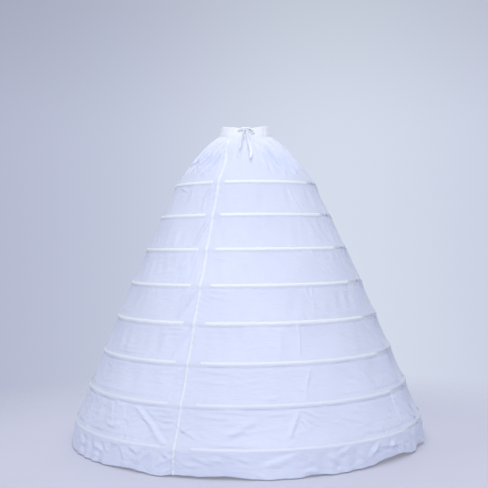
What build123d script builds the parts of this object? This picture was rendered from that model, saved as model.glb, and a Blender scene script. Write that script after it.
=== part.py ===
from build123d import *
import os
from math import atan2, cos, degrees, hypot, radians, sin, tan

# Crinoline cage: a white hooped petticoat of four cloth gores, eight steel hoops run through
# tapes that are stitched round the skirt, and a waistband drawn in by a tape that ties behind.
# Millimetres, +Z up. The hem rests on Z = 0, the waist axis is Z, and +Y is the wearer's front.
# An azimuth is in degrees from the centre back (-Y), growing towards the wearer's right (+X).

# Hoops, counted from the waist down
HOOP_COUNT = 8
KNEE_HOOP = 4                 # the skirt's slope changes just under this hoop
TOP_HOOP_RADIUS = 252.5       # cloth under the hoop, at the hoop's middle height
KNEE_HOOP_RADIUS = 410.0
BOTTOM_HOOP_RADIUS = 610.0
FLOUNCE_DROP = 83.0           # from the lowest hoop down to the hem
HOOP_SPACING = 119.8          # between the two lowest hoops
SPACING_SHRINK_LENGTH = 1.4   # each space further up is this much smaller
STEEL_WIDTH = 7.0             # flat spring steel with its plastic coat
STEEL_THICKNESS = 0.8
HOOP_END_GAP = 3.0            # between the two ends of a hoop, inside its connector

# Connectors that join the two ends of each hoop
CONNECTOR_LENGTH = 46.0
CONNECTOR_WALL = 0.6
CONNECTOR_CLEARANCE = 0.1     # between the steel and the channel, above and below

# Tapes that carry the hoops
TAPE_WIDTH = 16.0
TAPE_LAYER = 0.9              # tape over the middle of the steel
TAPE_STEEL_CLEARANCE = 0.2    # between the tape and the edges of the steel
SEAM_GAP = 4.65               # degrees that a tape stops short of a seam
JOIN_GAP = 13.7               # the same at the seam where the hoops are joined

# Gores
GORE_NAMES = ("back", "right", "front", "left")
FIRST_SEAM = -21.3            # azimuth where the back gore starts
JOIN_SEAM = 1                 # the hoops are joined at the end of the first gore
CLOTH = 1.0                   # cloth with its finish, as one stiff layer
SEAM_FOLD_WIDTH = 10.0        # seam allowance, folded and stitched down inside
SEAM_FOLD_THICKNESS = 1.0

# Gathers under the waistband and waves along the hem
NECK_RISE = 174.0             # from the top hoop up to the waistband
NECK_FULLNESS = 0.72          # 1 is a straight cone, less puffs out under the band
GATHER_COUNT = 28             # round the whole waist
GATHER_SWAY_COUNT = 17        # slower waves that make the gathers uneven
GATHER_SWAY_PHASE = 40        # degrees that these waves are turned by
GATHER_SWAY_SHARE = 0.3       # of the depth
GATHER_DEPTH = 4.6            # of the deepest gathers
GATHER_LEVELS = ((0.42, 0.8), (0.12, 1.0), (0.0, 0.25))   # share of the rise, share of depth
HEM_WAVE_COUNT = 14
HEM_WAVE_PHASE = 150          # degrees that the waves are turned by
HEM_SWAY_COUNT = 10           # slower waves that make the hem uneven
HEM_SWAY_SHARE = 0.35         # of the depth
HEM_WAVE_DEPTH = 9.0
HEM_FLARE_WIDTH = 5.0         # the hem hangs this much outside the lowest tape
GORE_STEPS = 42               # flat facets across each gore

# Waistband
BAND_HEIGHT = 35.0
BAND_HALF_WIDTH = 85.0        # at its top edge, outside
BAND_HALF_DEPTH = 73.0
BAND_FLARE_WIDTH = 10.0       # the lower edge stands this much further out
BAND_SKIN = 1.1
CHANNEL_GAP = 2.0             # room for the drawstring between the two skins
CHANNEL_TOP_MARGIN = 4.5
CHANNEL_HEIGHT = 15.0
EYELET_WIDTH = 3.4
EYELET_SPACING = 9.0

# Drawstring, a flat woven tape
STRING_WIDTH = 11.0
STRING_THICKNESS = 1.4
KNOT_WIDTH = 13.0
KNOT_HEIGHT = 11.0
KNOT_THICKNESS = 7.0
KNOT_ROUNDING = 2.6
KNOT_CLEARANCE = 0.3          # between the knot and the waistband
TAIL_BEND_SHARE = 0.45        # of the shorter run beside a bend, taken up by the bend
LOOP_LENGTH = 31.0            # from the middle of the knot
LOOP_HEIGHT = 5.2
LOOP_DIRECTIONS = (-20, 190)  # degrees, from straight right, on the waistband's back
LEFT_TAIL = [
    (-6, -85.2, 1085.5), (-12, -90, 1071), (-17, -105, 1057), (-18, -126, 1045),
    (-16, -144, 1031), (-18, -160, 1015), (-24, -174, 1001),
]
RIGHT_TAIL = [
    (6, -85.2, 1085.5), (9, -91, 1070), (9.5, -109, 1056), (10, -132, 1042),
    (14, -152, 1025), (20, -170, 1008), (20, -188, 990), (14, -204, 973),
]

# Where the hoops lie
def hoop_height(number):
    """Height of a hoop's middle above the floor; hoop 1 is the top one."""
    steps = HOOP_COUNT - number
    return FLOUNCE_DROP + steps * HOOP_SPACING - SPACING_SHRINK_LENGTH * steps * (steps - 1) / 2


TOP_Z = hoop_height(1)
KNEE_Z = hoop_height(KNEE_HOOP)
BOTTOM_Z = hoop_height(HOOP_COUNT)
UPPER_SLOPE = (KNEE_HOOP_RADIUS - TOP_HOOP_RADIUS) / (TOP_Z - KNEE_Z)
HALF_TAPE = TAPE_WIDTH / 2

# The skirt's breaks lie at the edges of tapes, so that every tape is backed by a true cone
NECK_FOOT_Z = TOP_Z + HALF_TAPE
KNEE_BREAK_Z = KNEE_Z - HALF_TAPE
KNEE_BREAK_RADIUS = KNEE_HOOP_RADIUS + UPPER_SLOPE * HALF_TAPE
LOWER_SLOPE = (BOTTOM_HOOP_RADIUS - KNEE_BREAK_RADIUS) / (KNEE_BREAK_Z - BOTTOM_Z)
FLOUNCE_TOP_Z = BOTTOM_Z - HALF_TAPE
BAND_BOTTOM_Z = TOP_Z + NECK_RISE
BAND_TOP_Z = BAND_BOTTOM_Z + BAND_HEIGHT


def slope_at(z):
    """How much the skirt widens for each millimetre down, between the neck and the flounce."""
    return UPPER_SLOPE if z > KNEE_BREAK_Z else LOWER_SLOPE


def skirt_radius(z):
    """Outside radius of the cloth between the neck and the flounce."""
    return KNEE_BREAK_RADIUS + slope_at(z) * (KNEE_BREAK_Z - z)


def on_plan(azimuth, radius, z):
    """Point at an azimuth in degrees and a radius."""
    return Vector(radius * sin(radians(azimuth)), -radius * cos(radians(azimuth)), z)


# Shape of the waistband: two half rounds joined by short straight stretches, back and front
def band_half_depth(z, inset=0.0):
    """Half depth of the waistband's outside at a height, less an inset."""
    return BAND_HALF_DEPTH + BAND_FLARE_WIDTH * (BAND_TOP_Z - z) / BAND_HEIGHT - inset


def band_radius(azimuth, z, inset):
    """Distance from the axis to the waistband's outline, less an inset, at an azimuth."""
    half_depth = band_half_depth(z, inset)
    half_straight = BAND_HALF_WIDTH - BAND_HALF_DEPTH
    sideways, along = abs(sin(radians(azimuth))), abs(cos(radians(azimuth)))
    if half_depth * sideways <= half_straight * along:
        return half_depth / along
    return half_straight * sideways + (half_depth ** 2 - (half_straight * along) ** 2) ** 0.5


# Shape of the cloth, as a radius at each azimuth
def gather_wave(azimuth):
    """Uneven gathers, from -1 to 1, the same on both sides of every seam."""
    main = cos(radians(GATHER_COUNT * azimuth))
    sway = cos(radians(GATHER_SWAY_COUNT * azimuth + GATHER_SWAY_PHASE))
    return main + GATHER_SWAY_SHARE * (sway - main)


def neck_level(share):
    """Height of a section of the neck, from 0 at the waistband to 1 at the top tape."""
    return BAND_BOTTOM_Z + (NECK_FOOT_Z - BAND_BOTTOM_Z) * share


def neck_radius(azimuth, share, depth):
    """Outside radius of the gathered neck, with the gathers that deep."""
    at_band = band_radius(azimuth, BAND_BOTTOM_Z, BAND_SKIN + CHANNEL_GAP / 2 - CLOTH / 2)
    fullness = share ** NECK_FULLNESS
    smooth = at_band + (skirt_radius(NECK_FOOT_Z) - at_band) * fullness
    return smooth + depth * gather_wave(azimuth)


def hem_radius(azimuth):
    """Outside radius of the flounce at the hem."""
    main = cos(radians(HEM_WAVE_COUNT * azimuth + HEM_WAVE_PHASE))
    sway = cos(radians(HEM_SWAY_COUNT * azimuth))
    wave = main + HEM_SWAY_SHARE * (sway - main)
    return skirt_radius(FLOUNCE_TOP_Z) + HEM_FLARE_WIDTH + HEM_WAVE_DEPTH * wave


# Cloth, as flat facets between horizontal sections
def gore_section(start, end, z, outer):
    """Closed outline of one gore at a height, thicker along the seam fold at its first edge."""
    fold_end = start + degrees(SEAM_FOLD_WIDTH / outer(start))
    step = (end - fold_end) / GORE_STEPS
    stops = [start] + [fold_end + step * i for i in range(GORE_STEPS + 1)]
    outside = [on_plan(azimuth, outer(azimuth), z) for azimuth in stops]
    inside = [on_plan(azimuth, outer(azimuth) - CLOTH, z) for azimuth in stops[1:]]
    fold = [on_plan(a, outer(a) - CLOTH - SEAM_FOLD_THICKNESS, z) for a in (fold_end, start)]
    return outside + inside[::-1] + fold


def faceted(sections, outer_count):
    """Solid through outlines that have the same number of points, with triangles between.

    Each outline's outer_count first points are its outer face. The triangles behind them lean the
    same way, so that both faces of the cloth stay one thickness apart.
    """
    facets = [Face(Wire.make_polygon(outline, close=True)) for outline in (sections[0], sections[-1])]
    for low, high in zip(sections, sections[1:]):
        for i, corner in enumerate(low):
            beside = (i + 1) % len(low)
            ends = (high[beside], corner) if i < outer_count - 1 else (high[i], low[beside])
            for triangle in ((corner, low[beside], ends[0]), (ends[1], high[beside], high[i])):
                facets.append(Face(Wire.make_polygon(triangle, close=True)))
    return Solid(Shell(facets))


def gore(start, end):
    """One gore from hem to waistband: flounce, skirt and gathered neck."""
    sections = [gore_section(start, end, 0, hem_radius)]
    for z in (FLOUNCE_TOP_Z, KNEE_BREAK_Z, NECK_FOOT_Z):
        sections.append(gore_section(start, end, z, lambda azimuth, z=z: skirt_radius(z)))
    for share, depth in GATHER_LEVELS:
        def radius_at(azimuth, share=share, depth=depth * GATHER_DEPTH):
            return neck_radius(azimuth, share, depth)

        sections.append(gore_section(start, end, neck_level(share), radius_at))
    return faceted(sections, GORE_STEPS + 2)


# Steel, tapes and connectors, which all lie along the skirt's slope
def turned_strip(number, profile, start, end):
    """Solid turned about the waist axis, between two azimuths, from a profile on the cloth.

    A profile point is (up, out): along the cloth from the hoop's middle, and out from the cloth.
    """
    z = hoop_height(number)
    slope = slope_at(z)
    length = hypot(slope, 1)
    corners = []
    for up, out in profile:
        radius = skirt_radius(z) + (out - up * slope) / length
        corners.append(on_plan(start, radius, z + (up + out * slope) / length))
    section = Face(Wire.make_polygon(corners, close=True))
    return Solid.revolve(section, end - start, Axis.Z)


def hoop(number):
    """Flat steel bent to an open ring, with its two ends close together at the join."""
    half_gap = degrees(HOOP_END_GAP / 2 / hoop_radius(number))
    half = STEEL_WIDTH / 2
    profile = [(-half, 0), (-half, STEEL_THICKNESS), (half, STEEL_THICKNESS), (half, 0)]
    return turned_strip(number, profile, JOIN_AZIMUTH + half_gap, JOIN_AZIMUTH + 360 - half_gap)


def hoop_radius(number):
    return skirt_radius(hoop_height(number))


def hoop_connector(number):
    """Crimped channel that holds both ends of a hoop, open towards the cloth."""
    half_turn = degrees(CONNECTOR_LENGTH / 2 / hoop_radius(number))
    inside = STEEL_WIDTH / 2 + CONNECTOR_CLEARANCE
    outside = inside + CONNECTOR_WALL
    top = STEEL_THICKNESS + CONNECTOR_WALL
    profile = [
        (-outside, 0), (-outside, top), (outside, top), (outside, 0),
        (inside, 0), (inside, STEEL_THICKNESS), (-inside, STEEL_THICKNESS), (-inside, 0),
    ]
    return turned_strip(number, profile, JOIN_AZIMUTH - half_turn, JOIN_AZIMUTH + half_turn)


def casing(number):
    """The four tapes of one hoop, each bulging over the steel and flat at its stitched edges."""
    steel_share = STEEL_WIDTH / TAPE_WIDTH
    crest = (STEEL_THICKNESS + TAPE_STEEL_CLEARANCE) / (1 - steel_share)
    profile = [(-HALF_TAPE, 0), (0, crest + TAPE_LAYER), (HALF_TAPE, 0), (0, crest)]
    tapes = []
    for index in range(len(GORE_NAMES)):
        start, end = gore_edges(index)
        start += seam_gap(index)
        end -= seam_gap(index + 1)
        tapes.append(turned_strip(number, profile, start, end))
    return Compound(children=tapes)


# Where the gores meet
def gore_edges(index):
    """Azimuths of the seams at both edges of a gore."""
    turn = 360 / len(GORE_NAMES)
    return FIRST_SEAM + index * turn, FIRST_SEAM + (index + 1) * turn


def seam_gap(index):
    """Degrees between a seam and the tapes that end beside it."""
    return JOIN_GAP if index == JOIN_SEAM else SEAM_GAP


JOIN_AZIMUTH = gore_edges(JOIN_SEAM)[0]


# Waistband
def band_core(inset, bottom, top):
    """Solid inside the waistband's outer face, less an inset, between two heights."""
    half_depth = band_half_depth(bottom, inset)
    width = 2 * (half_depth + BAND_HALF_WIDTH - BAND_HALF_DEPTH)
    taper = degrees(atan2(BAND_FLARE_WIDTH, BAND_HEIGHT))
    return Pos(0, 0, bottom) * extrude(SlotOverall(width, 2 * half_depth), top - bottom, taper=taper)


def band_ring(inset, thickness, bottom, top):
    """Ring that follows the waistband, between two insets and two heights."""
    return band_core(inset, bottom, top) - band_core(inset + thickness, bottom, top)


def eyelet_cut(x):
    """Slit from the channel out through the back of the waistband."""
    depth = BAND_HALF_DEPTH + BAND_FLARE_WIDTH
    slit = Box(EYELET_WIDTH, depth, CHANNEL_HEIGHT)
    return Pos(x, -depth / 2 - channel_depth() + CHANNEL_GAP, channel_middle()) * slit


def channel_middle():
    return BAND_TOP_Z - CHANNEL_TOP_MARGIN - CHANNEL_HEIGHT / 2


def channel_depth():
    """How far behind the axis the outer side of the channel lies, at its middle height."""
    return band_half_depth(channel_middle(), BAND_SKIN)


def waistband():
    """Folded band with a channel in it, and two slits behind where the drawstring comes out."""
    thickness = 2 * BAND_SKIN + CHANNEL_GAP
    band = band_ring(0, thickness, BAND_BOTTOM_Z, BAND_TOP_Z)
    low = channel_middle() - CHANNEL_HEIGHT / 2
    band -= band_ring(BAND_SKIN, CHANNEL_GAP, low, low + CHANNEL_HEIGHT)
    for side in (-1, 1):
        band -= eyelet_cut(side * EYELET_SPACING / 2)
    return band


# Drawstring
def bow_plane():
    """Plane of the knot: X to the right, Y up along the waistband, Z straight out of its back."""
    z = channel_middle()
    tilt = BAND_FLARE_WIDTH / BAND_HEIGHT
    out = Vector(0, -1, tilt).normalized()
    return Plane(origin=(0, -band_half_depth(z), z), x_dir=(1, 0, 0), z_dir=out)


def bow_loop(direction):
    """Flat loop of the bow: the tape goes out of the knot, folds over and comes back."""
    outer = SlotOverall(LOOP_LENGTH, LOOP_HEIGHT)
    inner = SlotOverall(LOOP_LENGTH - 2 * STRING_THICKNESS, LOOP_HEIGHT - 2 * STRING_THICKNESS)
    loop = extrude(outer - inner, STRING_WIDTH / 2, both=True)
    upright = Pos(LOOP_LENGTH / 2, 0, KNOT_THICKNESS / 2) * Rot(90, 0, 0) * loop
    return bow_plane().location * Rot(0, 0, direction) * upright


def drawstring():
    """One tape: through the channel, out of both slits, and tied in a bow at the centre back."""
    middle = channel_middle()
    inset = BAND_SKIN + (CHANNEL_GAP - STRING_THICKNESS) / 2
    low = middle - STRING_WIDTH / 2
    string = band_ring(inset, STRING_THICKNESS, low, low + STRING_WIDTH)
    opening = EYELET_SPACING - STRING_THICKNESS
    string -= Pos(0, -BAND_HALF_DEPTH, middle) * Box(opening, BAND_HALF_DEPTH, CHANNEL_HEIGHT)
    reach = band_half_depth(middle) + KNOT_THICKNESS / 2 - channel_depth() + STRING_THICKNESS
    for side in (-1, 1):
        end = Box(STRING_THICKNESS, reach, STRING_WIDTH)
        y = -channel_depth() + STRING_THICKNESS - reach / 2
        string += Pos(side * EYELET_SPACING / 2, y, middle) * end
    knot = fillet(Box(KNOT_WIDTH, KNOT_HEIGHT, KNOT_THICKNESS).edges(), KNOT_ROUNDING)
    string += bow_plane().location * Pos(0, 0, KNOT_THICKNESS / 2 + KNOT_CLEARANCE) * knot
    for direction in LOOP_DIRECTIONS:
        string += bow_loop(direction)
    return string


def drawstring_tail(route):
    """Free end of the drawstring, laid down the gathers from the knot."""
    radii = []
    for before, at, after in zip(route, route[1:], route[2:]):
        first, second = Vector(at) - Vector(before), Vector(after) - Vector(at)
        turn = radians(first.get_angle(second))
        shorter = min(first.length, second.length)
        radii.append(TAIL_BEND_SHARE * shorter / tan(turn / 2))
    print("tail radii", [round(radius) for radius in radii])
    path = FilletPolyline(*route, radius=radii)
    start = Plane(origin=path @ 0, x_dir=(1, 0, 0), z_dir=path % 0)
    return sweep(start * Rectangle(STRING_WIDTH, STRING_THICKNESS), path)


# Write each piece to its own file
pieces = {
    "waistband": waistband(),
    "drawstring": drawstring(),
    "drawstring_tail_left": drawstring_tail(LEFT_TAIL),
    "drawstring_tail_right": drawstring_tail(RIGHT_TAIL),
}
for index, name in enumerate(GORE_NAMES):
    pieces["gore_" + name] = gore(*gore_edges(index))
for number in range(1, HOOP_COUNT + 1):
    pieces[f"hoop_{number}"] = hoop(number)
    pieces[f"hoop_connector_{number}"] = hoop_connector(number)
    pieces[f"casing_{number}"] = casing(number)

os.makedirs("parts", exist_ok=True)
for name, piece in pieces.items():
    export_step(piece, f"parts/{name}.step")
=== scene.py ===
"""Crinoline cage: the cloth, tapes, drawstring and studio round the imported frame."""

from math import hypot, pi, radians, sin, sqrt

import bpy
import numpy as np
from bpy.props import FloatProperty, FloatVectorProperty, IntProperty, PointerProperty
from mathutils import Matrix, Vector


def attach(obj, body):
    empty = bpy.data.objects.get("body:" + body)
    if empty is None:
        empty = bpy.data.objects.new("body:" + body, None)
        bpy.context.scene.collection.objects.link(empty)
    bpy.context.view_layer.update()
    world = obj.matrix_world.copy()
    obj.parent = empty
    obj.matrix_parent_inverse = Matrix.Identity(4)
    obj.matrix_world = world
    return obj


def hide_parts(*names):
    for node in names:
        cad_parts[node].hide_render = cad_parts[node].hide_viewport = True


bl_info = {
    "name": "Crinoline Cage",
    "version": (1, 0, 0),
    "blender": (4, 5, 0),
    "location": "3D View > Sidebar > Crinoline",
    "description": "Dresses the crinoline cage's frame in cloth, tapes and a tied drawstring",
    "category": "Object",
}

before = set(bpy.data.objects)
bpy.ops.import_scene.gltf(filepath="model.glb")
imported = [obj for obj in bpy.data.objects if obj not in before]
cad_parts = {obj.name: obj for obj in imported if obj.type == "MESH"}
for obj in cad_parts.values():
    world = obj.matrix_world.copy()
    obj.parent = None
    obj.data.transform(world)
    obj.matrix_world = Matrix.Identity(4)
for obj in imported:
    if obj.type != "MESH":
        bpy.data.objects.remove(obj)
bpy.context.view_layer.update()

# The frame's own sizes, in millimetres and degrees. An azimuth is counted from the centre back
# (-Y) towards +X.
MM = 0.001
HOOP_HEIGHTS = (892.2, 780.8, 668.0, 553.8, 438.2, 321.2, 202.8, 83.0)
KNEE_HEIGHT, KNEE_RADIUS = 545.8, 413.7
UPPER_SLOPE, LOWER_SLOPE = 0.4654, 0.4241
NECK_FOOT = 900.2
FLOUNCE_TOP = 75.0
BAND_BOTTOM, BAND_TOP = 1066.2, 1101.2
BAND_HALF_DEPTH, BAND_HALF_STRAIGHT, BAND_FLARE = 73.0, 12.0, 10.0
BAND_MIDDLE_INSET = 2.1          # the gathered top edge is held between the band's two skins
SIDE_RISE = 0.32                 # share of the waist dip that the sides are raised by
SLIT_SPACING, SLIT_HEIGHT = 9.0, 23.0
HALF_TAPE = 8.0
HELD = HALF_TAPE * 0.9           # half the height that a tape's stitches hold against the steel
SLANT = 1.09                     # length down the cloth for each millimetre of height
SEAMS = (-21.3, 68.7, 158.7, 248.7, 338.7)
SEAM_LEANS = (-15.0, 4.0, -5.0, 4.0, -15.0)      # at the waistband
LEAN_FOOT, LEAN_POWER = 960.0, 1.5
GORE_NAMES = ("back", "right", "front", "left")
SEAM_GAP, JOIN_GAP, JOIN_SEAM = 4.65, 13.7, 1
JOIN_START, JOIN_TURN, JOIN_END = 55.4, 12.0, 69.0   # slack cloth beside the hoops' joins
STRING_WIDTH, STRING_THICKNESS = 11.0, 1.4
LINING_WEAVE = (1.8, 1.6)        # spacing of the drawn threads; the real ones lie 0.2 mm apart
STREWN_SEED, LONG_SEED, TAPE_SEED, BAND_SEED = 21, 33, 40, 5
KNOT_CENTRE, KNOT_HALF = (1.5, -80.3, 1090.2), (5.2, 3.8, 5.6)

# The drawstring's two free ends, as in the frame's source
LEFT_TAIL = (
    (-4, -85.2, 1086), (-8, -91, 1072), (-12, -106, 1058), (-16, -126, 1045),
    (-18, -144, 1031), (-20, -158, 1017), (-21, -166, 1009),
)
RIGHT_TAIL = (
    (4, -85.2, 1086), (7, -91, 1070), (8.5, -109, 1056), (10, -132, 1042),
    (14, -152, 1025), (18, -170, 1008), (19, -188, 990), (15, -203, 974),
)

# The bow's loops, from the middle of the knot
RIGHT_LOOP = ((2, -1, 2), (9, -4, 3), (18, -6, -2), (26, -6, -9), (29, -5, -16), (23, -5, -18),
              (15, -5, -14), (8, -3, -7), (2, -1, -2))
LEFT_LOOP = ((-2, -1, 1.5), (-9, -4, 2.4), (-18, -5, 1), (-25, -5, -2), (-27, -4, -6),
             (-21, -4, -6.5), (-13, -4, -4), (-6, -3, -2), (-2, -1, -1))

# Camera and lamps, in metres: place, lens and sensor in millimetres, roll in radians
CAMERA_PLACE, CAMERA_LENS, CAMERA_SENSOR, CAMERA_ROLL = (-0.009, -3.083, 0.684), 62.9, 36.0, -0.0101
# Name, place, size, height that it aims at, share of the fill lights' power
LAMPS = (
    ("key", (-0.05, -3.6, 2.7), 2.4, 0.85, None), ("fill_left", (-4.2, -1.0, 2.0), 2.4, 0.6, 1.1),
    ("fill_right", (4.2, -1.0, 2.2), 2.4, 0.6, 0.8), ("top", (0.0, 0.2, 4.2), 3.0, 0.5, 1.8),
    ("rear", (0.0, 4.4, 2.4), 3.0, 0.6, 2.2),
)

# By space between two hoops, top to bottom: depth of the crease below the upper tape, of the one
# above the lower tape, and of the slack and the fold where the hoops are joined
UPPER_CREASES = (0.3, 0.3, 0.5, 0.8, 1.4, 2.4, 3.0)
LOWER_CREASES = (0, 0, 0.2, 0.5, 1.2, 2.6, 3.0)
JOIN_SLACK = (1.5, 1.6, 1.8, 2.6, 6.5, 7.5, 7.5)
JOIN_FOLDS = (1.0, 1.2, 1.6, 2.4, 6.0, 6.5, 6.5)

# Half width of a felled seam by height
SEAM_WIDTHS = ((0, 300, 780, 960, 1066), (3.9, 4.3, 5.2, 5.0, 2.8))

# Sections: share of the half width and of the height of a felled seam, then (up, out) of a tape
# and of a connector, and (up from the lower edge, inset) round the waistband
SEAM_SECTION = np.array((
    (-1, -0.5), (-1, 0.55), (-0.9, 0.9), (-0.55, 1.0), (-0.2, 0.94), (0.2, 0.94), (0.55, 1.0),
    (0.9, 0.9), (1, 0.55), (1, -0.5)))
TAPE_SECTION = np.array((
    (-8.2, 0.1), (-7.9, 0.7), (-7.0, 0.8), (-6.1, 0.55), (-5.2, 0.85), (-4.2, 1.45), (-3.2, 2.15),
    (-1.8, 2.55), (0, 2.68), (1.8, 2.55), (3.2, 2.15), (4.2, 1.45), (5.2, 0.85), (6.1, 0.55),
    (7.0, 0.8), (7.9, 0.7), (8.2, 0.1)))
CONNECTOR_SECTION = np.array((
    (-4.2, 0.0), (-4.2, 0.7), (-4.05, 1.15), (-3.6, 1.4), (0, 1.45), (3.6, 1.4),
    (4.05, 1.15), (4.2, 0.7), (4.2, 0.0)))
BAND_SECTION = np.array((
    (-0.8, 0.5), (0.2, 0.0), (1.6, -0.2), (3.2, 0.45), (5, -0.1), (8, -0.35), (12, -0.45),
    (16, -0.45), (17.5, -0.47), (19, -0.5), (20.5, -0.5), (22, -0.52), (23.5, -0.54),
    (25, -0.55), (26.5, -0.55), (28, -0.55), (30, -0.48), (32, -0.3),
    (34, 0.15), (35, 0.9), (35.4, 2.1), (35, 3.3), (33, 4.0), (28, 4.2), (19.5, 4.1),
    (10, 4.2), (3, 4.2), (0, 4.2)))

# Where the hem swings out or is lifted at the back: azimuth, lift, swing
HEM_LINE = (
    (-180, 3, 2), (-168, 9, -3), (-155, 2, 5), (-143, 8, -2), (-130, 2, 6), (-118, 10, -4),
    (-106, 2, 4), (-94, 9, -2), (-82, 3, 3), (-71, 2, 8), (-56, 1, 7), (-46, 2, 5), (-36, 8, 0),
    (-29, 2, 5), (-25, 1, 11), (-21.5, 7, 0), (-14, 6, 0), (-6, 10, -2), (2, 2, 4), (5, 1, 10),
    (9, 2, 7), (14.5, 1, 8), (17, 7, -1), (24, 1, 5), (30, 3, 2), (38, 6, 0), (43, 15, -3),
    (52, 17, 0), (58, 4, 5), (60, 3, 6), (62, 15, 1), (67, 11, -4), (72, 6, 5), (78, 14, -5),
    (85, 5, 4), (97, 10, -3), (108, 2, 5), (121, 9, -3), (134, 2, 4), (147, 8, -2), (158, 2, 6),
    (169, 9, -3), (180, 3, 2),
)

# Gathers that can be followed under the waistband: points (azimuth, height) down the ridge, width,
# height and the side of its crease
NECK_FOLDS = (
    (((-59.5, 1058), (-55.4, 1009), (-59.8, 982), (-70.9, 950)), 6, 5.0, 1),
    (((-45, 1060), (-45.7, 1011), (-50.1, 972), (-57, 935)), 6, 5.5, 1),
    (((-37, 1060), (-36, 1010), (-42, 965), (-47, 925)), 5, 4.0, 1),
    (((-30.5, 1015), (-34.8, 960), (-39.5, 912)), 7, 4.0, 1),
    (((-50, 1060), (-51, 1020), (-54, 990)), 4, 3.0, 1),
    (((31.3, 1060), (32.6, 1009), (34.2, 965), (36.4, 912)), 6, 5.0, -1),
    (((22, 1060), (23, 1010), (26, 960)), 5, 3.0, -1),
    (((37, 1058), (38, 1000), (41, 940)), 5, 3.6, -1),
    (((44, 1062), (43.7, 1015), (47.4, 964), (50.8, 920)), 7, 5.5, -1),
    (((52, 1060), (53, 1010), (56, 950)), 5, 3.6, -1),
    (((61.7, 1050), (61.5, 1000), (61.5, 940)), 6, 4.0, -1),
    (((12, 1060), (13, 1000)), 4, 2.2, 1), (((-8, 1060), (-9, 1010)), 4, 2.4, 1),
    (((-14, 1060), (-15, 1020)), 4, 2.4, 1), (((3, 1060), (3, 1015)), 3, 1.6, 1),
    (((-70, 1058), (-74, 960)), 6, 2.6, 1), (((73, 1058), (75, 950)), 6, 2.4, -1),
)

# Slack cloth beside the left seam: points, width, height and the crease's share of the height
SLACK_FOLDS = (
    (((-26.0, 884), (-27.8, 860), (-29.6, 837), (-29.0, 790)), 6, 6.5, 0.4),
    (((-23.5, 772), (-26.9, 722), (-28.9, 676)), 6, 6.5, 0.5),
    (((-22.9, 772), (-24.6, 722), (-26.6, 676)), 4, 2.4, 0.4),
    (((-31.8, 690), (-33.5, 674)), 5, 3.0, 0.6),
    (((-26.4, 664), (-29.0, 630), (-30.5, 600)), 5, 3.2, 0.5),
    (((-30.5, 662), (-32.4, 628), (-34.5, 600)), 5, 2.6, 0.5),
    (((-24.6, 660), (-25.6, 620), (-27.0, 570)), 4, 2.4, 0.5),
    (((-22.9, 550), (-27.1, 484), (-29.5, 448)), 5.5, 5.0, 0.5),
    (((-26.5, 548), (-30.0, 500)), 6, 3.4, 0.7),
    (((-23.8, 430), (-25.5, 380), (-28.0, 330)), 7, 4.0, 0.7),
    (((-23.4, 312), (-26.8, 212)), 6, 2.8, 0.6),
)

# Long folds lower down and on the right, in the same form
LOWER_FOLDS = (
    (((-39.6, 196), (-30.8, 142), (-24.3, 84)), 14, 5.0, 0.45),
    (((-44.2, 194), (-41.8, 140), (-38.4, 92)), 6, 0.5, 2.8),
    (((-50.6, 192), (-47.2, 140), (-46.0, 96)), 6, 0.5, 3.0),
    (((-57.5, 190), (-56.0, 150)), 6, 0.5, 2.4), (((-66, 190), (-61, 100)), 7, 0.5, 2.4),
    (((15.6, 192), (14.2, 160), (11.3, 104)), 6, 3.8, 0.25),
    (((12.6, 436), (12.2, 400), (11.6, 332)), 4, 2.2, 0.2),
    (((19.8, 436), (19.6, 380), (18.2, 330)), 4, 2.4, 0.2),
    (((29.9, 550), (29.0, 500), (28.2, 446)), 4, 2.2, 0.2),
    (((35.0, 664), (39.0, 620), (45.0, 575)), 6, 4.0, 0.7),
    (((26, 546), (28, 500), (33, 450)), 6, 2.6, 0.7),
    (((33, 868), (35, 830), (38, 790)), 6, 3.0, 0.7),
    (((22, 312), (19, 250), (18, 206)), 6, 2.4, 0.3),
    (((46, 430), (50, 390), (56, 340)), 7, 4.0, 0.7),
    (((40, 312), (44, 270), (50, 212)), 7, 4.0, 0.7),
    (((55.6, 210), (56.3, 150), (56.0, 96)), 6, 5.0, 0.9),
    (((60.5, 212), (66, 160), (74, 100)), 6, 5.0, 0.9),
)

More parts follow.
